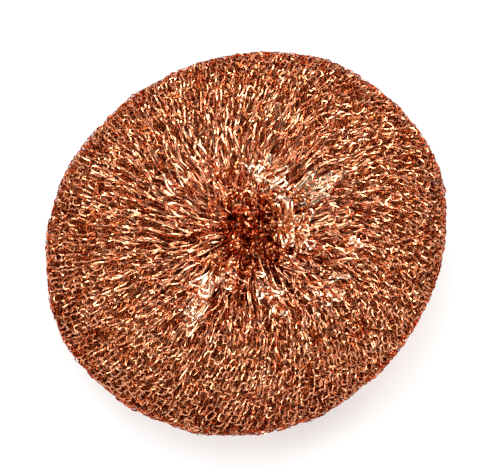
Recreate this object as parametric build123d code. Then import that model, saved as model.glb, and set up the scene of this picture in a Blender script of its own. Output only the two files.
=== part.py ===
"""Round pot scrubber of knitted copper wire.

One long knitted sleeve is rolled back over itself, turn over turn, into a bun with a pit in the
middle of each face. Its two cut ends are gathered, pushed down the pits and held in the middle by
a flat wire band. Each turn of the sleeve is a solid of its own here: the turns lie over each
other with a small gap, and inside the throat each one stops just short of meeting itself. The
outer turn is open like the knit, in rings of stretched meshes, and wire loops stand on it and on
the gathered end.

The origin is on the surface that the scrubber rests on, under its middle, and +Z runs up through
both pits. Sizes are in millimetres.
"""

import math
import os

from build123d import *

# Driving dimensions of the whole scrubber
overall_diameter = 86.0
overall_height = 34.0  # of the bun, without the loops that stand on it
crown_diameter = 35.0  # across the highest ring of the bun, round the pit
throat_diameter = 6.4  # the hole that is left in the middle
pit_depth = 5.8  # from the crown down to where the throat starts
resting_flat_depth = 0.5  # how much the soft underside flattens under its own weight

# The sleeve's turns
turn_thickness = 1.6
turn_gap = 0.3
turn_names = ["outer_turn", "second_turn", "third_turn", "fourth_turn"]
turn_slit = 0.6  # between the two ends of a turn, inside the throat

# Puckers that run out of the upper pit and over the crown of the outer turn
pucker_count = 12
pucker_width = 3.2
pucker_depth = 1.1
pucker_bend_radius = 90.0  # flatter than the crown, so that a pucker fades out at both ends
pucker_half_length = 12.5  # from the crown to either end of the cut, measured level

# Meshes of the knit on the outer turn, each a diamond that is drawn out towards the pit
upper_lip_mesh_angle = 16.0  # degrees down the lip from the crown
lower_lip_mesh_angle = 43.0  # the same below, where it stays clear of the face that it rests on
lip_mesh_length = 4.6
lip_mesh_width = 1.8
rim_mesh_angles = [71.0, 52.0, 31.0, 10.5]  # degrees up the rim from the widest ring
rim_mesh_counts = [24, 30, 36, 36]
rim_mesh_length = 5.8
rim_mesh_width = 3.6

# Gathered ends of the sleeve, spread as a ruffle round the top of each pit
ruffle_thickness = 0.9
upper_ruffle_angle = 30.0  # degrees down the lip from the crown, where the upper one's edge lies
lower_ruffle_angle = 52.0  # the same for the lower one, which stays clear of the worktop
ruffle_petals = 11
ruffle_notch_width = 1.2
ruffle_notch_angle = 58.0  # degrees down the lip, where the notches between petals end

# Ribbon loops that stand up round the upper pit
loop_radius = 1.6
loop_width = 1.2
loop_thickness = 0.5
loop_rise = 2.2  # over what the loop stands on, before it leans
loop_foot = 0.5  # how deep its feet reach into it
loop_lean = 30.0  # degrees to one side, so that the loop shows from above
crown_loop_radius = 20.0  # of the ring of loops that stands on the outer turn

# Gathered neck in the throat, and the flat wire band that holds it
neck_waist_diameter = 3.6
band_height = 3.2
band_thickness = 0.5
band_fit = 0.1
band_mouth = 0.8  # opening where the band's ends were bent together

# One overrun for every cutting tool
overrun = 5.0

outer_radius = overall_diameter / 2
crown_radius = crown_diameter / 2
throat_radius = throat_diameter / 2
half_height = (overall_height + resting_flat_depth) / 2
middle = overall_height - half_height
turn_step = turn_thickness + turn_gap
lip_start = half_height - pit_depth
lip_width = crown_radius - throat_radius
rim_width = outer_radius - crown_radius


def lip_arc(inset, side, angle):
    """The lip's line, `inset` under the surface, from the throat so many degrees up the lip."""
    return EllipticalCenterArc(
        (crown_radius, middle + side * (lip_start - inset)),
        lip_width - inset,
        pit_depth,
        start_angle=180,
        arc_size=-angle * side,
    )


def section_arcs(inset, side):
    """The throat line, lip and rim of the bun's section, `inset` under its surface.

    side is 1 for the upper half and -1 for the lower one. The three run from the throat's slit
    over the crown and out to the widest point.
    """
    slit_end = (throat_radius + inset, middle + side * turn_slit / 2)
    lip_end = (throat_radius + inset, middle + side * (lip_start - inset))
    rim = EllipticalCenterArc(
        (crown_radius, middle),
        rim_width - inset,
        half_height - inset,
        start_angle=90 * side,
        arc_size=-90 * side,
    )
    return [Line(slit_end, lip_end), lip_arc(inset, side, 90), rim]


def spun(edges):
    """The solid that closed edges, drawn as radius and height, make when they turn about Z."""
    return revolve(make_face([Plane.XZ * edge for edge in edges]), Axis.Z)


def sleeve_turn(inset):
    """One turn of the sleeve: a wall from the slit up over the crown, round the rim and back."""
    edges = []
    for side in (1, -1):
        edges += section_arcs(inset, side)
        edges += section_arcs(inset + turn_thickness, side)
        height = middle + side * turn_slit / 2
        radius = throat_radius + inset
        edges.append(Line((radius, height), (radius + turn_thickness, height)))
    return spun(edges)


def rolled_start():
    """The sleeve's first turns, rolled too tight to tell apart: a ring that fills the middle."""
    inset = len(turn_names) * turn_step
    edges = [*section_arcs(inset, 1), *section_arcs(inset, -1)]
    radius = throat_radius + inset
    edges.append(Line((radius, middle - turn_slit / 2), (radius, middle + turn_slit / 2)))
    return spun(edges)


def around(tool, count, start=0.0):
    """Copies of a tool, evenly spaced about Z."""
    return [Rot(0, 0, start + 360 * i / count) * tool for i in range(count)]


def on_lip(angle):
    """Radius, height over the middle and slope of the surface, so many degrees down the lip."""
    turn = math.radians(angle)
    slope = math.degrees(math.atan2(pit_depth * math.sin(turn), lip_width * math.cos(turn)))
    return crown_radius - lip_width * math.sin(turn), lip_start + pit_depth * math.cos(turn), slope


def on_rim(angle):
    """Radius, height over the middle and slope of the surface, so many degrees up the rim."""
    turn = math.radians(angle)
    slope = -math.degrees(math.atan2(half_height * math.cos(turn), rim_width * math.sin(turn)))
    return crown_radius + rim_width * math.cos(turn), half_height * math.sin(turn), slope


def placed(tool, spot, side):
    """A tool drawn lying at the origin, set on the surface at a spot, on either side."""
    radius, height, slope = spot
    on_top = Pos(radius, 0, height) * Rot(0, -slope, 0) * tool
    if side < 0:
        on_top = mirror(on_top, Plane.XY)
    return Pos(0, 0, middle) * on_top


def mesh_tool(length, width):
    """A diamond prism that cuts one mesh through the wall."""
    diamond = Polygon((length / 2, 0), (0, width / 2), (-length / 2, 0), (0, -width / 2), align=None)
    return extrude(diamond, turn_step, both=True)


def pucker_tool():
    """A bent round rod that arches over the crown along a radius."""
    half_angle = math.degrees(math.asin(pucker_half_length / pucker_bend_radius))
    rod_radius = (pucker_width**2 / 4 + pucker_depth**2) / (2 * pucker_depth)
    rod = Torus(pucker_bend_radius, rod_radius, major_angle=2 * half_angle, align=None)
    upright = Rot(90, 0, 0) * Rot(0, 0, 90 - half_angle) * rod
    height = half_height - pucker_bend_radius + rod_radius - pucker_depth
    return Pos(crown_radius, 0, height) * upright


def standing_loop():
    """A ribbon loop along a radius that stands on the origin and leans, its feet sunk a little."""
    head = loop_rise - loop_radius
    inner_radius = loop_radius - loop_thickness
    edges = []
    for radius in (loop_radius, inner_radius):
        edges.append(CenterArc((0, head), radius, 0, 180))
        edges += [Line((x, head), (x, -loop_foot)) for x in (-radius, radius)]
    for way in (-1, 1):
        edges.append(Line((way * inner_radius, -loop_foot), (way * loop_radius, -loop_foot)))
    face = make_face([Plane.XZ * edge for edge in edges])
    return Rot(loop_lean, 0, 0) * extrude(face, loop_width / 2, both=True)


def ruffle(side):
    """A gathered end of the sleeve: a thin funnel over the lip, its edge notched into petals.

    On the upper one a loop stands on each petal; the lower one is pressed smooth.
    """
    reach = upper_ruffle_angle if side > 0 else lower_ruffle_angle
    inner = lip_arc(-turn_gap, side, 90 - reach)
    outer = lip_arc(-turn_gap - ruffle_thickness, side, 90 - reach)
    funnel = spun([inner, outer, Line(inner @ 0, outer @ 0), Line(inner @ 1, outer @ 1)])

    # The notches' inner ends stand where the lip has turned through the notch angle
    notch_radius = on_lip(ruffle_notch_angle)[0]
    notch_length = crown_radius - notch_radius
    slot = Pos(notch_radius + notch_length / 2, 0, middle + side * half_height / 2) * (
        Box(notch_length, ruffle_notch_width, half_height + overrun)
    )
    root = Pos(notch_radius, 0, middle + side * half_height / 2) * (
        Cylinder(ruffle_notch_width / 2, half_height + overrun)
    )
    half_step = 180 / ruffle_petals
    if side < 0:
        return funnel - around(slot + root, ruffle_petals, half_step)
    radius, height, slope = on_lip((ruffle_notch_angle + upper_ruffle_angle) / 2)
    spot = (radius, height + turn_gap + ruffle_thickness, slope)
    loops = around(placed(standing_loop(), spot, 1), ruffle_petals, half_step)
    return funnel - around(slot + root, ruffle_petals) + loops


def gathered_neck():
    """The sleeve where it is pinched in the throat: a short bundle with a waist for the band."""
    end_radius = throat_radius - turn_gap
    waist_radius = neck_waist_diameter / 2
    waist_half = band_height / 2 + band_fit
    outline = [
        (0, -lip_start),
        (end_radius, -lip_start),
        (waist_radius, -waist_half),
        (waist_radius, waist_half),
        (end_radius, lip_start),
        (0, lip_start),
    ]
    points = [(radius, middle + height) for radius, height in outline]
    return spun([Line(a, b) for a, b in zip(points, points[1:] + points[:1])])


def neck_band():
    """A flat wire bent round the neck's waist, its ends left a little apart."""
    inner_radius = neck_waist_diameter / 2 + band_fit
    inside = Cylinder(inner_radius, band_height + overrun)
    ring = Cylinder(inner_radius + band_thickness, band_height) - inside
    reach = inner_radius + band_thickness + overrun
    mouth = Pos(reach / 2, 0, 0) * Box(reach, band_mouth, band_height + overrun)
    return Pos(0, 0, middle) * (ring - mouth)


def outer_turn():
    """The turn that shows: puckered round the upper pit, open in meshes, flat where it rests."""
    half_step = 180 / pucker_count
    tools = around(Pos(0, 0, middle) * pucker_tool(), pucker_count)
    for side, angle in ((1, upper_lip_mesh_angle), (-1, lower_lip_mesh_angle)):
        lip_mesh = placed(mesh_tool(lip_mesh_length, lip_mesh_width), on_lip(angle), side)
        tools += around(lip_mesh, pucker_count, half_step)
        for row, (angle, count) in enumerate(zip(rim_mesh_angles, rim_mesh_counts)):
            rim_mesh = placed(mesh_tool(rim_mesh_length, rim_mesh_width), on_rim(angle), side)
            shift = 180 / count if (row + (side > 0)) % 2 else 0
            tools += around(rim_mesh, count, shift)
    width = overall_diameter + overrun
    tools.append(Pos(0, 0, -overrun / 2) * Box(width, width, overrun))

    loop_angle = math.degrees(math.acos((crown_loop_radius - crown_radius) / rim_width))
    loops = around(placed(standing_loop(), on_rim(loop_angle), 1), pucker_count, half_step)
    return sleeve_turn(0) + loops - tools


def main():
    parts = {"outer_turn": outer_turn()}
    for number, name in enumerate(turn_names[1:], start=1):
        parts[name] = sleeve_turn(number * turn_step)
    parts["rolled_start"] = rolled_start()
    parts["upper_ruffle"] = ruffle(1)
    parts["lower_ruffle"] = ruffle(-1)
    parts["gathered_neck"] = gathered_neck()
    parts["neck_band"] = neck_band()
    os.makedirs("parts", exist_ok=True)
    for name, shape in parts.items():
        export_step(shape, f"parts/{name}.step")


main()
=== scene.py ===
# %% [markdown]
# # A pot scrubber of knitted copper wire
#
# The real thing is one long knitted sleeve of flat copper wire. It is rolled back over itself, turn
# over turn, into a round cushion, and its two ends are pulled down into a pit in the middle of each
# face. What the eye sees is thousands of small bright loops over darker and darker ones. So the
# knit is not painted on here: every stitch is a bent ribbon of its own, grown by Geometry Nodes.

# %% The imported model, and the helpers that it brings
import math
from collections import namedtuple

import bpy
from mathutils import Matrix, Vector


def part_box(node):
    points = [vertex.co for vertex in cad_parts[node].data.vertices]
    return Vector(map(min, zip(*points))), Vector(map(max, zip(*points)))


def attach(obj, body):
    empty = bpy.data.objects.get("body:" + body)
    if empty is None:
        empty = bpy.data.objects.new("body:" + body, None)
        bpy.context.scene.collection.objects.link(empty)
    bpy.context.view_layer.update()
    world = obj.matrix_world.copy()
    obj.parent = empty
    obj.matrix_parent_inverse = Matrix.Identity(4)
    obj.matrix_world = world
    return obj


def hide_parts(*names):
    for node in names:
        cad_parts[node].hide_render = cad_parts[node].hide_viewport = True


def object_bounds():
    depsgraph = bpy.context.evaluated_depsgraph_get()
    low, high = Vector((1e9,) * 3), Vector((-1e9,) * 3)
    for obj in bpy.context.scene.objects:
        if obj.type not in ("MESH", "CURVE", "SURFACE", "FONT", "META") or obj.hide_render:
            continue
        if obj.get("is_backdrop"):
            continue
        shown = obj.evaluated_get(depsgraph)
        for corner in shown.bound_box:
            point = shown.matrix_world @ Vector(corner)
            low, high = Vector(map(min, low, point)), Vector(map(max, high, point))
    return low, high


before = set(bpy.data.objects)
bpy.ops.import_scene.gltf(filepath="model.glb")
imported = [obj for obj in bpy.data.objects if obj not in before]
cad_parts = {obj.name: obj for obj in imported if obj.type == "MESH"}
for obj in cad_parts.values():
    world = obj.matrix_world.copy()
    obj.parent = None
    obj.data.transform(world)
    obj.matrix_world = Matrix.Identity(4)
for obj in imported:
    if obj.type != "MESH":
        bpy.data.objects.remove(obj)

cad_box = [list(corner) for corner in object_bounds()]
scene = bpy.context.scene
mm = 0.001
print(f"the packed solids reach from {cad_box[0]} to {cad_box[1]}")

# %% [markdown]
# ## Sums on nodes, written as Python
#
# A node tree is easier to read as a formula than as a list of boxes and wires. The class below
# wraps one output of a node. When two of them are added, it makes the Math node that adds them, so
# `2 * a + b` builds two nodes and their links. It works the same way for shapes and for colours.

# %% A node's output, with Python's operators
class Value:
    """One output of a node. Sums, comparisons and functions on it add the nodes that do them."""

    def __init__(self, tree, socket):
        self.tree = tree
        self.socket = socket

    def __getitem__(self, name):
        """Another output of the same node."""
        return Value(self.tree, self.socket.node.outputs[name])

    def math(self, operation, *others):
        inputs = dict(enumerate((self, *others)))
        return self.tree.add("ShaderNodeMath", inputs, operation=operation)

    def __add__(self, other):
        return self.math("ADD", other)

    def __sub__(self, other):
        return self.math("SUBTRACT", other)

    def __rsub__(self, other):
        return self.tree.number(other).math("SUBTRACT", self)

    def __mul__(self, other):
        return self.math("MULTIPLY", other)

    def __truediv__(self, other):
        return self.math("DIVIDE", other)

    def __gt__(self, other):
        return self.math("GREATER_THAN", other)

    def __neg__(self):
        return self.math("MULTIPLY", -1.0)

    __radd__ = __add__
    __rmul__ = __mul__

    def sin(self):
        return self.math("SINE")

    def cos(self):
        return self.math("COSINE")

    def floor(self):
        return self.math("FLOOR")

    def size(self):
        return self.math("ABSOLUTE")

    def at_least(self, low):
        return self.math("MAXIMUM", low)

    def at_most(self, high):
        return self.math("MINIMUM", high)

    def power(self, exponent):
        return self.math("POWER", exponent)

    def vector(self, operation, *others):
        """A Vector Math node on this vector; its numbers and vectors are the other inputs."""
        inputs = dict(enumerate((self, *others)))
        return self.tree.add("ShaderNodeVectorMath", inputs, operation=operation)

    def scaled(self, factor):
        inputs = {"Vector": self, "Scale": factor}
        return self.tree.add("ShaderNodeVectorMath", inputs, operation="SCALE")

    def parts(self):
        """The X, Y and Z of this vector, as outputs of one node."""
        return self.tree.add("ShaderNodeSeparateXYZ", {"Vector": self})

    def ramp(self, low, high, start=0.0, end=1.0):
        """A smooth step: start up to low, end from high on, and an even change between them."""
        inputs = {"Value": self, "From Min": low, "From Max": high, "To Min": start, "To Max": end}
        return self.tree.add("ShaderNodeMapRange", inputs, interpolation_type="SMOOTHSTEP")


# %% A tree of nodes that is built by calls
class Tree:
    """A node tree. Every node comes from add(), the Math nodes of a formula too."""

    def __init__(self, tree):
        self.tree = tree

    def add(self, kind, inputs=None, output=0, **settings):
        """Adds a node. Its settings come first, because they decide which sockets it has."""
        node = self.tree.nodes.new(kind)
        for name, value in settings.items():
            setattr(node, name, value)
        for name, value in (inputs or {}).items():
            if isinstance(value, Value):
                self.tree.links.new(value.socket, node.inputs[name])
            else:
                node.inputs[name].default_value = value
        return Value(self, node.outputs[output]) if node.outputs else node

    def number(self, value):
        return self.add("ShaderNodeMath", {0: value, 1: 0.0}, operation="ADD")

    def xyz(self, x, y, z):
        return self.add("ShaderNodeCombineXYZ", {"X": x, "Y": y, "Z": z})

    def noise(self, vector, scale, detail=1.0, w=0.0, output="Fac"):
        """Smooth noise from about 0 to 1. w picks one of endless patterns, as a seed does."""
        inputs = {"Vector": vector, "Scale": scale, "Detail": detail, "W": w}
        return self.add("ShaderNodeTexNoise", inputs, output, noise_dimensions="4D")


# %% [markdown]
# ## Groups with named sizes
#
# A node group is a recipe with dials. The dials are the group's inputs: how many stitches, how
# wide the wire, which seed. A modifier sets them by each socket's identifier, since two sockets may
# share a name. When the recipe has run, `new_from_object` turns the result into a plain mesh,
# because the finished part holds meshes and no modifiers.

# %% Making a group, and growing a piece from it
SOCKETS = {
    float: "NodeSocketFloat",
    int: "NodeSocketInt",
    tuple: "NodeSocketVector",
    "material": "NodeSocketMaterial",
    "geometry": "NodeSocketGeometry",
}


class Recipe(Tree):
    """A Geometry Nodes group. inputs gives each dial's name and its usual value."""

    def __init__(self, name, inputs, outputs):
        super().__init__(bpy.data.node_groups.new(name, "GeometryNodeTree"))
        self.dials = {}
        for label, usual in inputs.items():
            dial = self.new_socket(label, usual, "INPUT")
            if not isinstance(usual, str):
                dial.default_value = usual
            self.dials[label] = dial.identifier
        for label, usual in outputs.items():
            self.new_socket(label, usual, "OUTPUT")
        self.given = self.add("NodeGroupInput")
        self.result = self.add("NodeGroupOutput")

    def new_socket(self, label, usual, in_out):
        kind = SOCKETS[usual if isinstance(usual, str) else type(usual)]
        return self.tree.interface.new_socket(label, in_out=in_out, socket_type=kind)

    def gives(self, **results):
        for label, value in results.items():
            self.tree.links.new(value.socket, self.result.inputs[label])

    def used_in(self, tree, inputs):
        """This group as a node of another tree."""
        return tree.add("GeometryNodeGroup", inputs, node_tree=self.tree)

    def grow(self, name, sizes):
        """Runs the recipe once and returns a plain mesh object of what it made."""
        holder = bpy.data.objects.new(name + "_recipe", bpy.data.meshes.new(name + "_seed"))
        scene.collection.objects.link(holder)
        modifier = holder.modifiers.new("recipe", "NODES")
        modifier.node_group = self.tree
        for label, value in sizes.items():
            modifier[self.dials[label]] = value
        evaluated = holder.evaluated_get(bpy.context.evaluated_depsgraph_get())
        mesh = bpy.data.meshes.new_from_object(evaluated)
        mesh.name = name
        bpy.data.objects.remove(holder)
        piece = bpy.data.objects.new(name, mesh)
        scene.collection.objects.link(piece)
        mesh.calc_loop_triangles()
        print(f"{name}: {len(mesh.loop_triangles)} triangles")
        return piece


# %% [markdown]
# ## The bun that the knit lies on
#
# Seen in section, the cushion is a rim and a lip: the rim runs from the widest ring up to the
# crown, and the lip turns down from the crown into the throat. Both are quarter ellipses, as in the
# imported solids. A modelled bun could be the base, with the wire projected on it. A formula is
# steadier: it turns two numbers into a place, how far round the bun and how many millimetres along
# its section, and knitting is counted in just those two directions. The box of the second turn
# gives the size, because the outer turn's box also holds its loose loops.

# %% Sizes of the bun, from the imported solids
turn_step = 1.9
turn_gap = 0.3
crown_radius = 17.5
low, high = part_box("second_turn")
outer_radius = (high.x - low.x) / 2 / mm + turn_step
half_height = (high.z - low.z) / 2 / mm + turn_step
middle = (high.z + low.z) / 2 / mm
neck_low, neck_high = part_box("gathered_neck")
throat_radius = (neck_high.x - neck_low.x) / 2 / mm + turn_gap
lip_start = (neck_high.z - neck_low.z) / 2 / mm
quarter_turn = math.pi / 2


def quarter_length(a, b):
    """About how long a quarter of an ellipse is."""
    return math.pi / 4 * (3 * (a + b) - math.sqrt((3 * a + b) * (a + 3 * b)))


rim_size = (outer_radius - crown_radius, half_height)
lip_size = (crown_radius - throat_radius, half_height - lip_start)
rim_length = quarter_length(*rim_size)
lip_length = quarter_length(*lip_size)
print(f"rim {rim_length:.1f} mm, lip {lip_length:.1f} mm, throat {2 * throat_radius:.1f} mm wide")


# %% The section: a radius, a height and an outward direction for each place along it
def section(path):
    """The angle, radius, height and outward direction at this many millimetres of path.

    The angle is evened out, so that equal steps of path are about equal steps on the rim.
    """
    rim_angle = (path / rim_length * quarter_turn).at_most(quarter_turn)
    unevenness = (rim_size[0] - rim_size[1]) / (rim_size[0] + rim_size[1]) / 2
    lip_angle = (path - rim_length) / lip_length * quarter_turn
    lip_angle = lip_angle.at_least(0.0).at_most(quarter_turn)
    angle = rim_angle + unevenness * (rim_angle * 2.0).sin() + lip_angle
    on_lip = path > rim_length
    wide = rim_size[0] + on_lip * (lip_size[0] - rim_size[0])
    tall = rim_size[1] + on_lip * (lip_size[1] - rim_size[1])
    below = (path - (rim_length + lip_length)).at_least(0.0)
    radius = crown_radius + wide * angle.cos()
    height = tall * angle.sin() + on_lip * lip_start - below
    lean_out = angle.cos() / wide
    lean_up = angle.sin() / tall
    lean = (lean_out * lean_out + lean_up * lean_up).power(0.5)
    return angle, radius, height, lean_out / lean, lean_up / lean


# %% [markdown]
# A real scrubber is never a clean turned shape. Drawing the sleeve in folds it into puckers, which
# are sharp valleys between round crests and run from the rim's upper half into the pit. The whole
# bun is also a little egg-shaped, pressed flat at one side, and lumpy. Sculpting would do it once;
# a few waves and slow noises do it for every ply alike, so that the plies stay nested.

# %% Puckers and lumps, as a lift off the section
pucker_count = 12
pucker_depth = 1.6
pucker_wander = 1.6
pucker_wander_scale = 0.05
least_pucker_share = 0.3
pucker_range_share = 1.4
pucker_range_scale = 0.06
pucker_rim_share = 0.55
pucker_lip_share = 0.35
pucker_end_share = 0.6
lump_height = 1.2
lump_scale = 0.07
wander_seed, range_seed, lump_seed = 3.0, 5.0, 9.0


def puckers_and_lumps(group, around, path, place):
    wobble = (group.noise(place, pucker_wander_scale, w=wander_seed) - 0.5) * pucker_wander
    uneven = group.noise(place, pucker_range_scale, w=range_seed) * pucker_range_share
    uneven = uneven + least_pucker_share
    wave = ((around - math.pi / pucker_count + wobble) * (pucker_count / 2)).sin().size()
    reach = path.ramp(rim_length * pucker_rim_share, rim_length + lip_length * pucker_lip_share)
    fade = 1.0 - path.ramp(rim_length + lip_length * pucker_end_share, rim_length + lip_length)
    lumps = (group.noise(place, lump_scale, detail=2.0, w=lump_seed) * 2.0 - 1.0) * lump_height
    return (wave - 1.0) * reach * fade * uneven * pucker_depth + lumps


# %% The egg shape of the rim
egg_bulge = 1.8
egg_direction = math.radians(38)
pressed_flat = 1.7
pressed_direction = math.radians(-15)


def egg_shape(around, angle):
    """How much farther out the rim is in this direction."""
    bulge = ((around - egg_direction) * 2.0).cos() * egg_bulge
    press = (around - pressed_direction).cos().at_least(0.0).power(2.0) * pressed_flat
    return (bulge - press) * angle.cos().at_least(0.0)


# %% The bun's surface as a group
floor_clearance = 0.25
floor_softness = 0.6
pit_shift = (-1.4, -2.2)
shift_shares = (0.5, 1.7)


def bun_surface():
    group = Recipe(
        "Bun surface",
        {"Around": 0.0, "Path": 0.0, "Lift": 0.0, "Side": 1.0},
        {"Position": (0.0, 0.0, 0.0), "Outward": (0.0, 0.0, 0.0), "Radius": 0.0},
    )
    around, path, lift, side = (group.given[n] for n in ("Around", "Path", "Lift", "Side"))
    angle, radius, height, lean_out, lean_up = section(path)
    even_place = group.xyz(radius * around.cos(), radius * around.sin(), height * side)
    offset = lift + puckers_and_lumps(group, around, path, even_place)
    radius = radius + egg_shape(around, angle) + lean_out * offset
    height = height + lean_up * offset

    # The lowest loops are pressed flat by the floor, and the pit sits a little off the middle
    z = (side * height + middle).math("SMOOTH_MAX", floor_clearance, floor_softness)
    near_pit = 1.0 - radius.ramp(crown_radius * shift_shares[0], crown_radius * shift_shares[1])
    aside = near_pit * height.ramp(0.0, half_height)
    x = radius * around.cos() + aside * pit_shift[0]
    y = radius * around.sin() + aside * pit_shift[1]
    outward = group.xyz(lean_out * around.cos(), lean_out * around.sin(), lean_up * side)
    group.gives(Position=group.xyz(x, y, z), Outward=outward, Radius=radius)
    return group


surface = bun_surface()
print(f"{surface.tree.name}: {len(surface.tree.nodes)} nodes")

# %% [markdown]
# ## From a line of points to a flat wire
#
# The real wire is rolled flat: about a third of a millimetre wide and very thin. Curve to Mesh
# sweeps a section along a curve, and the curve's normal says which way the flat side looks. The
# section is an open outline whose ends meet, so that each of its four sides keeps a number of its
# own. With that number and the step along the wire, every face gets its own place in a map of even
# strips, which the baked colours need. Then the meeting ends are merged and the wire is closed.

# %% Helpers for geometry: a kept value, a clean finish, and a tilted wire
crease_angle = 1.0


def stored(tree, geometry, name, value, data_type="FLOAT", domain="POINT"):
    """Keeps a value in the geometry under a name."""
    inputs = {"Geometry": geometry, "Name": name, "Value": value}
    return tree.add("GeometryNodeStoreNamedAttribute", inputs, data_type=data_type, domain=domain)


def finished(tree, mesh, material):
    """Smooth faces with sharp creases, no instances, and the material."""
    crease = tree.add("GeometryNodeInputMeshEdgeAngle") > crease_angle
    inputs = {"Geometry": mesh, "Selection": crease, "Shade Smooth": False}
    mesh = tree.add("GeometryNodeSetShadeSmooth", inputs, domain="EDGE")
    mesh = tree.add("GeometryNodeRealizeInstances", {"Geometry": mesh})
    return tree.add("GeometryNodeSetMaterial", {"Geometry": mesh, "Material": material})


def turned(tangent, outward, tilt):
    """The outward direction, turned about the wire by an angle."""
    sideways = tangent.vector("CROSS_PRODUCT", outward)
    return outward.scaled(tilt.cos()).vector("ADD", sideways.scaled(tilt.sin()))


# %% The flat wire
wire_corners = 4
strip_steps = 256
weld_distance = 0.002


def flat_section(tree, index, dial):
    """The wire's outline: a thin diamond that is wide along y and thin along x."""
    corner = index * (math.tau / wire_corners)
    outline = tree.xyz(
        corner.cos() * dial["Wire thickness"] * (mm / 2),
        corner.sin() * dial["Wire width"] * (mm / 2),
        0.0,
    )
    section_line = tree.add("GeometryNodeMeshLine", {"Count": wire_corners + 1}, mode="OFFSET")
    section_line = tree.add("GeometryNodeMeshToCurve", {"Mesh": section_line})
    inputs = {"Geometry": section_line, "Position": outline}
    return stored(tree, tree.add("GeometryNodeSetPosition", inputs), "edge", index)


def strip_map(tree, count):
    """One row for each strip of steps, and in a row the four sides one over the other."""
    step = tree.add("GeometryNodeInputNamedAttribute", {"Name": "step"})
    edge = tree.add("GeometryNodeInputNamedAttribute", {"Name": "edge"})
    face_step = tree.add("GeometryNodeFieldOnDomain", {"Value": step}, domain="FACE").floor()
    row = (face_step / strip_steps).floor()
    rows = (count / strip_steps).math("CEIL")
    return tree.xyz(step / strip_steps - row, (row + edge / wire_corners) / rows, 0.0)


def flat_wire(tree, line, facing, scale, count, dial):
    """A closed flat wire along each curve of line, with its flat side towards facing."""
    index = tree.add("GeometryNodeInputIndex")
    tangent = tree.add("GeometryNodeInputTangent")
    along = facing.vector("DOT_PRODUCT", tangent)["Value"]
    normal = facing.vector("SUBTRACT", tangent.scaled(along)).vector("NORMALIZE")
    line = tree.add("GeometryNodeSetCurveNormal", {"Curve": line, "Normal": normal}, mode="FREE")
    line = stored(tree, line, "step", index)
    inputs = {"Curve": line, "Profile Curve": flat_section(tree, index, dial), "Scale": scale}
    wire = tree.add("GeometryNodeCurveToMesh", inputs)
    wire = stored(tree, wire, "OFBake", strip_map(tree, count), "FLOAT2", "CORNER")
    for name in ("step", "edge"):
        wire = tree.add("GeometryNodeRemoveAttribute", {"Geometry": wire, "Name": name})
    inputs = {"Geometry": wire, "Distance": weld_distance * mm}
    return finished(tree, tree.add("GeometryNodeMergeByDistance", inputs), dial["Material"])


# %% [markdown]
# ## One ply of knit
#
# In plain knitting the wire runs in a wave: forward, back a little on each leg, and over the loop's
# head. As formulas that is `k + a sin 2t` across and `cos t` up, where t makes one full turn for
# each stitch. One modelled stitch could be copied round, but then every stitch is alike and none
# joins the next. Here the wire is one long line that climbs slowly round the bun, as a knitting
# machine lays it, so a half of a ply is one curve of some twenty-four thousand points. The stitches
# are counted as a knitter does: wales stand side by side, and courses lie one over the other.

# %% The wave of the stitches
stitch_swing_share = 0.19
stitch_reach_share = 0.80
head_crowding = 0.2
seam_overlap = 0.9


def stitch_wave(dial, index):
    """Where the wire is at each step: how far round, how far along the section, and its phase."""
    wales = dial["Wales"]
    stitch = index / dial["Steps"]
    phase = stitch * math.tau
    phase = phase - (phase * 2.0).sin() * head_crowding
    swing = (phase * 2.0).sin() * stitch_swing_share
    around = (stitch + swing) / wales * math.tau + dial["Turn"]
    row = stitch / wales - seam_overlap + dial["Side"] * phase.cos() * stitch_reach_share
    path = dial["First course"] * row + dial["Stretch"] * row.at_least(0.0).power(3.0)
    return stitch, phase, around, path


# %% [markdown]
# Two noises pull the wire about: one moves neighbouring wires together, and a weaker one moves each
# wire by itself. Towards the pit there is less and less room, so the wales bunch up in pairs, and
# the bunches stand as small pleats over dark gaps. Those gaps give the radial rays of the crown.

# %% Bunches, pleats and disorder
gather_start_share = 0.4
bundle_noise = 0.12
bundle_wander = 8.0
bundle_share = 0.85
pleat_height = 1.1
pleat_crest_share = 0.5
common_noise = 0.28
common_push = 5.0
own_noise = 1.7
own_push = 2.5
rim_unrest_share = 0.65
lip_unrest_share = 0.6
lift_share = 0.5
own_seed, tilt_seed, bundle_seed = 5.0, 2.0, 8.0
middle_grey = (0.5, 0.5, 0.5)


def bunches(group, dial, ideal, around, gather):
    """How far the wales move sideways to their bunch, and how far the pleats lift them."""
    wander = group.noise(ideal, bundle_noise, w=dial["Seed"] + bundle_seed) * bundle_wander
    fold = around * dial["Bundles"] + wander
    sideways = fold.sin() * gather * bundle_share / dial["Bundles"]
    return sideways, (-fold.cos() - pleat_crest_share) * gather * pleat_height


def disorder(group, dial, ideal, stitch, gather):
    """How far each point is pushed, in millimetres: round the bun, along the section, and out."""
    push = group.noise(ideal, common_noise, detail=2.0, w=dial["Seed"], output="Color")
    push = push.vector("SUBTRACT", middle_grey)
    along_wire = group.xyz(stitch, 0.0, 0.0)
    shake = group.noise(along_wire, own_noise, w=dial["Seed"] + own_seed, output="Color")
    shake = shake.vector("SUBTRACT", middle_grey)
    unrest = dial["Disorder"] * (gather * lip_unrest_share + rim_unrest_share)
    jolt = push.scaled(unrest * common_push).vector("ADD", shake.scaled(unrest * own_push))
    return jolt.parts()


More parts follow.
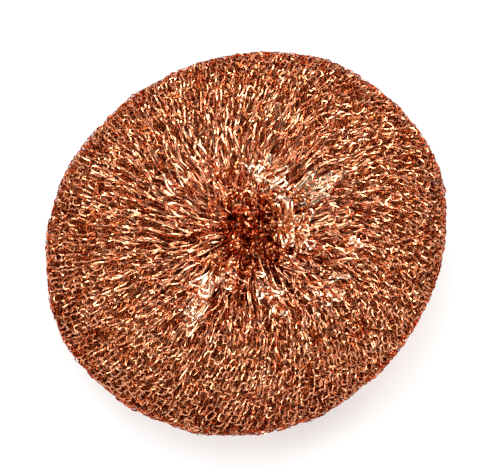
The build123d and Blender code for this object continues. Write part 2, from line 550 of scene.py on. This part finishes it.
# %% The recipe of a ply
rim_depth_share = 0.5
lip_depth_share = 1.1
tilt_noise = 0.75
wire_swivel = 6.5
head_tilt = 0.6
PLY_DIALS = {
    "Wales": 92,
    "Courses": 19,
    "Steps": 12,
    "First course": 1.45,
    "Stretch": 0.004,
    "Depth": 0.0,
    "Side": 1.0,
    "Seed": 0.0,
    "Turn": 0.0,
    "Twist": 0.01,
    "Wire width": 0.31,
    "Wire thickness": 0.05,
    "Disorder": 0.6,
    "Relief": 0.4,
    "Bundles": 40,
    "Material": "material",
}


def knitted_ply():
    group = Recipe("Knitted ply", PLY_DIALS, {"Geometry": "geometry"})
    dial = group.given
    index = group.add("GeometryNodeInputIndex")
    stitch, phase, around, path = stitch_wave(dial, index)
    inputs = {"Around": around, "Path": path, "Lift": 0.0, "Side": dial["Side"]}
    ideal = surface.used_in(group, inputs)
    gather = path.ramp(rim_length * gather_start_share, rim_length)
    sideways, pleat = bunches(group, dial, ideal, around, gather)
    jolt = disorder(group, dial, ideal, stitch, gather)
    depth = dial["Depth"] * (gather * lip_depth_share + rim_depth_share)
    turn = jolt["X"] / ideal["Radius"].at_least(throat_radius)
    inputs["Around"] = around + sideways + path * dial["Twist"] + turn
    inputs["Path"] = path + jolt["Y"]
    inputs["Lift"] = (phase * 2.0).cos() * dial["Relief"] + pleat - depth + jolt["Z"] * lift_share
    placed = surface.used_in(group, inputs)

    count = dial["Steps"] * dial["Wales"] * dial["Courses"]
    line = group.add("GeometryNodeMeshLine", {"Count": count}, mode="OFFSET")
    line = group.add("GeometryNodeMeshToCurve", {"Mesh": line})
    inputs = {"Geometry": line, "Position": placed.scaled(mm)}
    line = group.add("GeometryNodeSetPosition", inputs)
    tilt = (group.noise(ideal, tilt_noise, w=dial["Seed"] + tilt_seed) - 0.5) * wire_swivel
    tilt = tilt + phase.cos().power(2.0) * head_tilt
    facing = turned(group.add("GeometryNodeInputTangent"), placed["Outward"], tilt)
    not_ends = (index > 0.5) * (1.0 - (index > (count - 1.5)))
    group.gives(Geometry=flat_wire(group, line, facing, not_ends, count, dial))
    return group


ply = knitted_ply()
print(f"{ply.tree.name}: {len(ply.tree.nodes)} nodes")

# %% [markdown]
# ## Loose loops
#
# Where the sleeve's end is drawn in, loops stand free of the knit and catch the light. Each is an
# arch with a wide head and its two feet sunk in the knit. Instances of one loop would repeat its
# bends; instead, Points to Curves makes one curve for each group of points, so one recipe can lay
# any number of loops, each with its own random size, lean and bend.

# %% Chance, place and shape of one loop
rounding_guard = 0.001
foot_depth = 1.3
foot_pinch_share = 0.35
head_roundness = 0.7
rise_roundness = 0.8
least_size_share, size_range_share = 0.55, 0.9
least_rise_share, rise_range_share = 0.3, 1.2
bends_along = 2.0
bend_spacing = 3.7
bend_seed = 7.0
sideways_bend = 2.4
lifting_bend = 1.2
own_tilt = 0.4
bend_tilt = 1.4


def item_and_share(index, steps):
    """Which wire a point belongs to, and how far along it the point is, from 0 to 1."""
    item = (index / steps + rounding_guard).floor()
    return item, (index - item * steps) / (steps - 1.0)


def chances(group, item, seed):
    """Three random numbers from 0 to 1 for each wire."""
    inputs = {0: (0.0,) * 3, 1: (1.0,) * 3, "ID": item, "Seed": seed}
    return group.add("FunctionNodeRandomValue", inputs, data_type="FLOAT_VECTOR").parts()


def loop_bend(group, share, loop):
    """A slow noise along each loop, which reads a stretch of it that no other loop reads."""
    along_loop = group.xyz(share * bends_along, loop * bend_spacing, 0.0)
    return group.noise(along_loop, 1.0, w=bend_seed, output="Color").parts()


def curves_through(group, place, count, item, index):
    """One curve for each item, through its points in their order. The place is in millimetres."""
    points = group.add("GeometryNodePoints", {"Count": count})
    inputs = {"Geometry": points, "Position": place.scaled(mm)}
    points = group.add("GeometryNodeSetPosition", inputs)
    inputs = {"Points": points, "Curve Group ID": item, "Weight": index}
    return group.add("GeometryNodePointsToCurves", inputs)


# %% The recipe of loose loops
seeds_apart = 10.0
LOOP_DIALS = {
    "Count": 40,
    "Steps": 16,
    "Side": 1.0,
    "Seed": 1,
    "Around": 0.0,
    "Around spread": math.pi,
    "Path": 40.0,
    "Path spread": 4.0,
    "Length": 6.0,
    "Width": 2.4,
    "Rise": 1.4,
    "Lean": 0.6,
    "Upward": 3.0,
    "Wire width": 0.42,
    "Wire thickness": 0.05,
    "Material": "material",
}


def loose_loops():
    group = Recipe("Loose loops", LOOP_DIALS, {"Geometry": "geometry"})
    dial = group.given
    index = group.add("GeometryNodeInputIndex")
    loop, share = item_and_share(index, dial["Steps"])
    seed = dial["Seed"] * seeds_apart
    place, size, turn = (chances(group, loop, seed + draw) for draw in (1.0, 2.0, 3.0))
    centre = dial["Around"] + (place["X"] + place["Y"] - 1.0) * dial["Around spread"]
    root = dial["Path"] + (place["Z"] * 2.0 - 1.0) * dial["Path spread"]
    length = dial["Length"] * (size["X"] * size_range_share + least_size_share)
    width = dial["Width"] * (size["Y"] * size_range_share + least_size_share)
    rise = dial["Rise"] * (size["Z"] * rise_range_share + least_rise_share)
    lean = (turn["X"] * 2.0 - 1.0) * dial["Lean"]

    # The arch lies flat first: x across it and y along it, and then it leans and rises
    bend = loop_bend(group, share, loop)
    arch = (share * math.pi).sin().at_least(0.0)
    pinch = (share * (3 * math.pi)).cos() * turn["Z"] * foot_pinch_share
    x = ((share * math.pi).cos() - pinch) * -0.5 * width + (bend["X"] - 0.5) * sideways_bend
    y = arch.power(head_roundness) * length
    lift = arch.power(rise_roundness) * (rise + foot_depth) - foot_depth
    inputs = {"Around": centre, "Path": root, "Lift": 0.0, "Side": dial["Side"]}
    ring = surface.used_in(group, inputs)["Radius"].at_least(throat_radius)
    inputs["Around"] = centre + (x * lean.cos() - y * lean.sin()) / ring
    inputs["Path"] = root - x * lean.sin() - y * lean.cos()
    inputs["Lift"] = lift + (bend["Y"] - 0.5) * lifting_bend
    placed = surface.used_in(group, inputs)

    count = dial["Count"] * dial["Steps"]
    line = curves_through(group, placed, count, loop, index)
    tilt = (turn["Y"] - 0.5) * own_tilt + (bend["Z"] - 0.5) * bend_tilt
    upward = group.xyz(0.0, 0.0, dial["Side"] * dial["Upward"])
    upward = placed["Outward"].vector("ADD", upward).vector("NORMALIZE")
    facing = turned(group.add("GeometryNodeInputTangent"), upward, tilt)
    not_ends = (share > rounding_guard) * (1.0 - (share > (1.0 - rounding_guard)))
    group.gives(Geometry=flat_wire(group, line, facing, not_ends, count, dial))
    return group


loops = loose_loops()
print(f"{loops.tree.name}: {len(loops.tree.nodes)} nodes")

# %% [markdown]
# ## The rolled core
#
# Deep in the cushion the sleeve lies too tight to see single loops. More plies could be grown down
# to the middle, but nobody would see them. A closed, crinkled body stands for it there: a grid that
# is wrapped round the bun, some millimetres under its surface, and dented by noise.

# %% The recipe of the core
crinkle_scale = 0.55
crinkle_height = 1.6
crinkle_seed = 21.0
rim_core_share = 0.6
core_weld_distance = 0.02


def rolled_core():
    dials = {"Columns": 260, "Rows": 150, "Depth": 5.6, "Material": "material"}
    group = Recipe("Rolled core", dials, {"Geometry": "geometry"})
    dial = group.given
    columns, rows = dial["Columns"], dial["Rows"]
    grid = group.add("GeometryNodeMeshGrid", {"Vertices X": columns, "Vertices Y": rows})
    index = group.add("GeometryNodeInputIndex")
    column, share = item_and_share(index, rows)
    height = share * 2.0 - 1.0
    around = column / (columns - 1.0) * math.tau
    path = height.size() * (rim_length + lip_length + lip_start)
    inputs = {"Around": around, "Path": path, "Lift": 0.0, "Side": height.math("SIGN")}
    ideal = surface.used_in(group, inputs)
    crinkle = group.noise(ideal, crinkle_scale, detail=3.0, w=crinkle_seed) - 0.5
    shallow = path.ramp(rim_length * gather_start_share, rim_length, rim_core_share, 1.0)
    inputs["Lift"] = crinkle * crinkle_height - dial["Depth"] * shallow
    placed = surface.used_in(group, inputs)
    body = group.add("GeometryNodeSetPosition", {"Geometry": grid, "Position": placed.scaled(mm)})
    inputs = {"Geometry": body, "Distance": core_weld_distance * mm}
    body = group.add("GeometryNodeMergeByDistance", inputs)
    group.gives(Geometry=finished(group, body, dial["Material"]))
    return group


core = rolled_core()
print(f"{core.tree.name}: {len(core.tree.nodes)} nodes")

# %% [markdown]
# ## The gathered neck
#
# Where both ends of the sleeve are pulled together, the wires run side by side through the throat,
# drawn in at a waist by the band. Each wire is a line whose distance from the middle follows the
# square of its height, so that the bunch is thin at the waist and spreads like a sheaf at both
# ends. The square root of a random number spreads the wires evenly over the round.

# %% The recipe of the neck's wires
neck_twist = 0.6
neck_seed = 5
neck_follow_share = 0.75
NECK_DIALS = {
    "Count": 210,
    "Steps": 18,
    "Wire width": 0.5,
    "Wire thickness": 0.08,
    "End radius": 4.8,
    "Waist radius": 1.6,
    "Reach": 11.5,
    "Material": "material",
}


def gathered_neck():
    group = Recipe("Gathered neck", NECK_DIALS, {"Geometry": "geometry"})
    dial = group.given
    index = group.add("GeometryNodeInputIndex")
    wire, share = item_and_share(index, dial["Steps"])
    height = share * 2.0 - 1.0
    chance = chances(group, wire, neck_seed)
    spread = (dial["End radius"] - dial["Waist radius"]) * height * height
    radius = (dial["Waist radius"] + spread) * chance["X"].power(0.5)
    angle = chance["Y"] * math.tau + height * neck_twist
    aside = height.size().ramp(0.0, 1.0) * neck_follow_share
    x = radius * angle.cos() + aside * pit_shift[0]
    y = radius * angle.sin() + aside * pit_shift[1]
    place = group.xyz(x, y, height * dial["Reach"] + middle)
    count = dial["Count"] * dial["Steps"]
    line = curves_through(group, place, count, wire, index)
    facing = group.xyz(angle.cos(), angle.sin(), 0.0)
    not_ends = 1.0 - (height.size() > (1.0 - rounding_guard))
    group.gives(Geometry=flat_wire(group, line, facing, not_ends, count, dial))
    return group


neck = gathered_neck()
print(f"{neck.tree.name}: {len(neck.tree.nodes)} nodes")

# %% [markdown]
# ## Copper
#
# Bare copper is a metal, so its colour is the colour of what it mirrors, and a flat wire mirrors a
# whole lamp or none of it: that is where the glitter comes from. The wire isn't the same copper
# all over. It has slightly browner stretches, and the rollers leave it shinier here and duller
# there. Two noises on the object's own coordinates do that, with no picture. Deeper in the roll the
# copper is painted darker and redder, as painted shade: there light reaches it only from other
# copper wire, and the few bounces of a render don't bring out all of that, so each depth has a
# darker copy of its own. The tufts and the neck's band get a paler copy, as a painted highlight.

# %% The wire's copper, and its copies with painted shade and painted highlight
stain_scale = 120.0
stain_shares = (0.35, 0.7)
polish_scale = 500.0
polish_shares = (0.3, 0.7)
shinier, duller = 0.08, 0.12
edge_tint = (1.0, 0.78, 0.60, 1.0)


def copper(name, base, dark, roughness, metallic):
    material = bpy.data.materials.new(name)
    material.use_nodes = True
    material.node_tree.nodes.clear()
    tree = Tree(material.node_tree)
    place = tree.add("ShaderNodeTexCoord", output="Object")
    stain = tree.noise(place, stain_scale, detail=3.0).ramp(*stain_shares)
    inputs = {0: stain, 6: (*base, 1.0), 7: (*dark, 1.0)}
    colour = tree.add("ShaderNodeMix", inputs, 2, data_type="RGBA")
    polish = tree.noise(place, polish_scale, detail=2.0)
    shader = tree.add(
        "ShaderNodeBsdfPrincipled",
        {
            "Base Color": colour,
            "Metallic": metallic,
            "Roughness": polish.ramp(*polish_shares, roughness - shinier, roughness + duller),
            "Specular Tint": edge_tint,
        },
    )
    tree.add("ShaderNodeOutputMaterial", {"Surface": shader})
    print(f"{name}: colour {base} to {dark}, roughness about {roughness}")
    return material


# A paler copy of the copper: a painted highlight for the tufts and the neck's band.
painted_highlight_copper = copper("painted_highlight_copper", (1.0, 0.71, 0.48), (0.96, 0.56, 0.34), 0.17, 1.0)
knit_copper = copper("knit_copper", (0.92, 0.405, 0.22), (0.82, 0.295, 0.14), 0.15, 1.0)
# Darker, redder copies: painted shade for the lining, the deeper turns, the pit, the neck and the
# core.
painted_shade_lining_copper = copper("painted_shade_lining_copper", (0.56, 0.165, 0.055), (0.40, 0.095, 0.027), 0.18, 1.0)
painted_shade_inner_copper = copper("painted_shade_inner_copper", (0.47, 0.12, 0.033), (0.33, 0.07, 0.016), 0.24, 1.0)
painted_shade_deep_copper = copper("painted_shade_deep_copper", (0.45, 0.13, 0.045), (0.30, 0.07, 0.02), 0.30, 0.6)

# %% [markdown]
# ## Growing the plies
#
# The sleeve's outer turn is drawn as two plies, its face and its lining, and the next two turns as
# one ply each. Each ply is grown twice, once for the upper half and once for the lower, from the
# widest ring into the pit, and the first rows overlap so that no seam opens. The courses grow
# longer towards the pit, because the sleeve is stretched there: a cubic stretch makes the last
# course end in the throat. Neighbouring plies twist in opposite ways, so their wires cross.

# %% The plies
SIDES = {"top": 1.0, "bottom": -1.0}
Ply = namedtuple("Ply", "name node depth wales courses steps disorder twist finish")
# The lining and the deeper turns take the darker copies of the copper, which are painted shade.
PLIES = [
    Ply("outer_knit", "outer_turn", 0.2, 106, 21, 11, 0.80, 0.008, knit_copper),
    Ply("outer_lining", "outer_turn", 1.3, 98, 20, 11, 0.90, -0.016, painted_shade_lining_copper),
    Ply("second_knit", "second_turn", 2.8, 84, 17, 12, 0.95, 0.014, painted_shade_inner_copper),
    Ply("third_knit", "third_turn", 4.2, 76, 16, 12, 0.95, -0.014, painted_shade_inner_copper),
]
throat_reach = 1.0
wall_length = rim_length + lip_length + throat_reach
usual_course = 1.7
usual_courses = 20
seed_step = 4.0


def ply_sizes(kind, side, seed):
    """The dials of a ply: its first course's height, and the stretch that fills the section."""
    first_course = usual_course * usual_courses / kind.courses
    last_row = kind.courses - seam_overlap
    return {
        "Wales": kind.wales,
        "Courses": kind.courses,
        "Steps": kind.steps,
        "First course": first_course,
        "Stretch": (wall_length - first_course * last_row) / last_row**3,
        "Depth": kind.depth,
        "Side": side,
        "Seed": seed,
        "Turn": seed,
        "Twist": kind.twist,
        "Disorder": kind.disorder,
        "Bundles": kind.wales // 2,
        "Material": kind.finish,
    }


for number, kind in enumerate(PLIES):
    for side_name, side in SIDES.items():
        sizes = ply_sizes(kind, side, seed_step * number + side)
        piece = ply.grow(f"{kind.name}_{side_name}", sizes)
        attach(piece, "root")
        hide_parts(kind.node)

# %% [markdown]
# ## Growing the loose loops
#
# Round the pit the bright loops stand in tufts, where the sleeve's end was pulled in unevenly.
# Their copper is paler, as a painted highlight. The table gives each tuft's place round the pit and
# its distance from the middle, so that a tuft can be moved by hand. Even rings of loops in the
# knit's own copper join the tufts, and loops in the lining's darker copper, which is painted shade,
# line the pit. The lower face has the same tufts with other seeds.

# %% The tufts
Tuft = namedtuple("Tuft", "name angle radius spread path_spread count length width rise lean")
TUFTS = [
    Tuft("behind", 66, 9.4, 11, 1.4, 22, 3.8, 1.1, 1.8, 0.9),
    Tuft("right", -13, 9.6, 15, 2.0, 44, 4.2, 1.2, 2.6, 1.0),
    Tuft("back_right", 22, 14.5, 8, 4.0, 20, 5.0, 1.0, 1.6, 0.2),
    Tuft("back_left", 150, 15.8, 10, 1.5, 5, 3.0, 1.0, 1.8, 0.9),
    Tuft("front_left", -117, 19.4, 7, 5.0, 24, 6.0, 1.0, 1.7, 0.12),
    Tuft("far_right", -18, 23.8, 6, 1.5, 7, 3.2, 0.9, 1.8, 0.3),
    Tuft("front_right", -44, 24.6, 10, 3.0, 10, 3.4, 1.0, 1.8, 0.5),
    Tuft("front", -71, 19.3, 14, 3.0, 9, 3.4, 1.0, 1.8, 0.7),
]
tuft_wire_width = 0.38
tuft_seeds = {"top": 3, "bottom": 22}


def path_at(radius):
    """How far along the section the surface is this far from the middle."""
    if radius < crown_radius:
        turn = math.asin((crown_radius - radius) / lip_size[0])
        return rim_length + lip_length * turn / quarter_turn
    turn = math.acos((radius - crown_radius) / rim_size[0])
    return rim_length * turn / quarter_turn


def tuft_sizes(kind, seed):
    """The dials of a tuft. Its angles are in degrees and its lengths in millimetres."""
    return {
        "Seed": seed,
        "Around": math.radians(kind.angle),
        "Around spread": math.radians(kind.spread),
        "Path": path_at(kind.radius) + kind.length / 2,
        "Path spread": kind.path_spread,
        "Count": kind.count,
        "Length": kind.length,
        "Width": kind.width,
        "Rise": kind.rise,
        "Lean": kind.lean,
        "Wire width": tuft_wire_width,
    }


# %% The rings of loops round the pit, in it and in the throat
ring_radius = 14.0
ring_shift = 2.3
pit_rise = 5.0
throat_rise = 0.5
RINGS = {
    "ring": {
        "Path": path_at(ring_radius) + ring_shift,
        "Path spread": 9.0,
        "Count": 90,
        "Length": 4.6,
        "Width": 1.5,
        "Rise": 1.4,
        "Lean": 0.5,
        "Upward": 1.0,
        "Material": knit_copper,
    },
    "pit": {
        "Path": rim_length + lip_length - pit_rise,
        "Path spread": 6.0,
        "Count": 110,
        "Length": 3.0,
        "Width": 2.4,
        "Rise": 2.6,
        "Lean": 1.2,
        "Upward": 0.0,
        # The pit's loops take the lining's darker copper, which is painted shade.
        "Material": painted_shade_lining_copper,
    },
    "throat": {
        "Path": wall_length - throat_rise,
        "Path spread": 3.2,
        "Count": 230,
        "Length": 2.8,
        "Width": 2.2,
        "Rise": 2.8,
        "Lean": 1.4,
        "Upward": 0.0,
        "Material": knit_copper,
    },
}
ring_seeds = {
    "top": {"ring": 2, "pit": 51, "throat": 61},
    "bottom": {"ring": 21, "pit": 49, "throat": 53},
}


def grow_loops(name, side_name, sizes):
    piece = loops.grow(f"{name}_loops_{side_name}", {"Side": SIDES[side_name], **sizes})
    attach(piece, "root")
    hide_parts("upper_ruffle" if side_name == "top" else "lower_ruffle")


for side_name in SIDES:
    for number, kind in enumerate(TUFTS):
        sizes = tuft_sizes(kind, number + tuft_seeds[side_name])
        # The tufts take the paler copper, which is a painted highlight.
        grow_loops(kind.name, side_name, {"Material": painted_highlight_copper, **sizes})
    for name, sizes in RINGS.items():
        grow_loops(name, side_name, {"Seed": ring_seeds[side_name][name], **sizes})

# %% [markdown]
# ## Growing the core and the neck
#
# Both are hidden but for a glimpse through the knit, and yet the part holds them, since a pot
# scrubber that is pulled open shows them. Their copper is darker and redder, as painted shade for
# their depth. The band round the neck's waist keeps its imported solid, which is already a plain
# flat ring, and only gets the paler copper, a painted highlight.

# %% The core, the neck and the band
# The core's darker copper is painted shade.
piece = core.grow("rolled_core", {"Material": painted_shade_deep_copper})
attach(piece, "root")
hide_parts("fourth_turn", "rolled_start")

# The neck's wires take the lining's darker copper, which is painted shade.
piece = neck.grow("neck_wires", {"Material": painted_shade_lining_copper})
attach(piece, "root")
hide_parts("gathered_neck")

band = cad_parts["neck_band"]
# The band takes the paler copper, which is a painted highlight.
for slot in band.material_slots:
    slot.material = painted_highlight_copper
print(f"{band.name}: {len(band.material_slots)} material slot")

# %% [markdown]
# ## The floor
#
# The scrubber lies on plain white with hardly a shadow. White paint under plain light comes out
# grey, and more light would bleach the copper too. So the floor mixes two shaders. Rays straight
# from the camera, and rays that the copper mirrors, see a surface that shines with a strength of
# about 1, which is white. Light that bounces meets a matt pale floor. Close under the scrubber the
# camera sees more of the matt one, and so its shadow.

# %% The floor, and the rays that see it
def ray_kinds(tree):
    """Two masks: 1 for a ray from the camera, and 1 for a ray off metal or through glass."""
    rays = tree.add("ShaderNodeLightPath")
    return rays["Is Camera Ray"], rays["Is Glossy Ray"] + rays["Is Transmission Ray"]


floor_half = 3.0
floor_paint = (0.93, 0.89, 0.86, 1.0)
plain_white = (1.0, 1.0, 1.0, 1.0)
white_strength = 1.05
shadow_start, shadow_end = 0.040, 0.050
shadow_shares = (0.4, 0.93)
mirrored_share = 0.95

floor_mesh = bpy.data.meshes.new("floor")
corners = [(x * floor_half, y * floor_half, 0.0) for x, y in ((-1, -1), (1, -1), (1, 1), (-1, 1))]
floor_mesh.from_pydata(corners, [], [(0, 1, 2, 3)])
floor = bpy.data.objects.new("floor", floor_mesh)
scene.collection.objects.link(floor)
floor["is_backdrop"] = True

white = bpy.data.materials.new("white_floor")
white.use_nodes = True
white.node_tree.nodes.clear()
tree = Tree(white.node_tree)
matt = tree.add("ShaderNodeBsdfDiffuse", {"Color": floor_paint})
plain = tree.add("ShaderNodeEmission", {"Color": plain_white, "Strength": white_strength})
from_middle = tree.add("ShaderNodeTexCoord", output="Object").vector("LENGTH")["Value"]
beside = from_middle.ramp(shadow_start, shadow_end, *shadow_shares)
from_camera, mirrored = ray_kinds(tree)
direct = from_camera * beside + mirrored * mirrored_share
mixed = tree.add("ShaderNodeMixShader", {0: direct.at_most(1.0), 1: matt, 2: plain})
tree.add("ShaderNodeOutputMaterial", {"Surface": mixed})
floor_mesh.materials.append(white)
print(f"{floor.name}: {2 * floor_half} m wide")

# %% [markdown]
# ## The light
#
# Thin bright wire needs wide lamps: what a wire shows is the lamp that it mirrors, and a small
# strong lamp would give a few burnt specks. A ring of lamps stands high, near the direction that a
# face-up wire mirrors towards the camera. Five wider ones stand low and light the rim, more from
# behind than from the front, as the photograph has it. One large soft lamp fills the crown. A
# lamp's power follows from its radiance, so its size can be changed without changing how bright
# its mirror image is.

# %% The lamps
lamp_distance = 0.9
ring_lamps = 6
ring_elevation = 66
ring_lamp_size = 0.18
ring_radiance, ring_swing = 2.9, 1.7
ring_start = 110
low_azimuths = (45, 117, 189, 261, 333)
low_elevation = 30
low_lamp_size = 0.40
low_radiance, low_swing = 8.8, 3.4
soft_azimuth, soft_elevation = 90, 72
soft_lamp_size = 0.60
soft_radiance = 1.4


def lamp(name, azimuth, elevation, size, radiance):
    """A round lamp of this radiance that looks at the scrubber. Its angles are in degrees."""
    light = bpy.data.lights.new(name, "AREA")
    light.shape = "DISK"
    light.size = size
    light.energy = radiance * math.pi * math.pi * size * size / 4
    holder = bpy.data.objects.new(name, light)
    turn, climb = math.radians(azimuth), math.radians(elevation)
    flat = lamp_distance * math.cos(climb)
    height = lamp_distance * math.sin(climb)
    holder.location = (flat * math.cos(turn), flat * math.sin(turn), height)
    holder.rotation_euler = (-holder.location).to_track_quat("-Z", "Y").to_euler()
    scene.collection.objects.link(holder)
    print(f"{name}: {azimuth:.0f} degrees round, {elevation} up, {light.energy:.1f} W")


for i in range(ring_lamps):
    azimuth = ring_start + 360 * i / ring_lamps
    radiance = ring_radiance + ring_swing * math.cos(math.radians(azimuth - ring_start))
    lamp(f"lamp_{i + 1}", azimuth, ring_elevation, ring_lamp_size, radiance)
for i, azimuth in enumerate(low_azimuths):
    radiance = low_radiance + low_swing * math.sin(math.radians(azimuth))
    lamp(f"low_lamp_{i + 1}", azimuth, low_elevation, low_lamp_size, radiance)
lamp("soft_lamp", soft_azimuth, soft_elevation, soft_lamp_size, soft_radiance)

# %% [markdown]
# The world is the studio's backdrop. It is white near the horizon for the camera and for whatever
# mirrors it, and dark overhead, so that face-up wires between the lamps stay dark and the glitter
# keeps its contrast. As light it is only a weak fill.

# %% The world
backdrop_top, dark_from = 0.30, 0.65
overhead_strength = 0.08
fill_strength = 0.15

world = bpy.data.worlds.new("studio")
scene.world = world
world.use_nodes = True
world.node_tree.nodes.clear()
tree = Tree(world.node_tree)
up = tree.add("ShaderNodeTexCoord", output="Generated").parts()["Z"]
from_camera, mirrored = ray_kinds(tree)
seen = (from_camera + mirrored).at_most(1.0)
backdrop = up.ramp(backdrop_top, dark_from, 1.0, overhead_strength)
strength = seen * (backdrop - fill_strength) + fill_strength
sky = tree.add("ShaderNodeBackground", {"Color": plain_white, "Strength": strength})
tree.add("ShaderNodeOutputWorld", {"Surface": sky})
print(f"{world.name}: fill {fill_strength}")

# %% [markdown]
# ## The camera
#
# The photograph looks down steeply: the scrubber's outline is nearly as high as it is wide. A
# cushion of this height gives that outline from 71 degrees up. The lens is long, since the rim
# shows no strong perspective.

# %% The camera
camera_elevation = math.radians(71)
camera_distance = 0.30
camera_lens = 100.0

camera_data = bpy.data.cameras.new("camera")
camera_data.lens = camera_lens
camera = bpy.data.objects.new("camera", camera_data)
scene.collection.objects.link(camera)
scene.camera = camera
target = Vector((0.0, 0.0, middle * mm))
back = Vector((0.0, -math.cos(camera_elevation), math.sin(camera_elevation)))
camera.location = target + back * camera_distance
camera.rotation_euler = (-back).to_track_quat("-Z", "Y").to_euler()
scene.view_settings.view_transform = "Standard"
print(f"{camera.name} at {[round(x, 3) for x in camera.location]} m")

# %% The sizes before and after, and the end
sizes = {"cad_box": cad_box, "visual_box": [list(corner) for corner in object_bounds()]}
print(sizes)
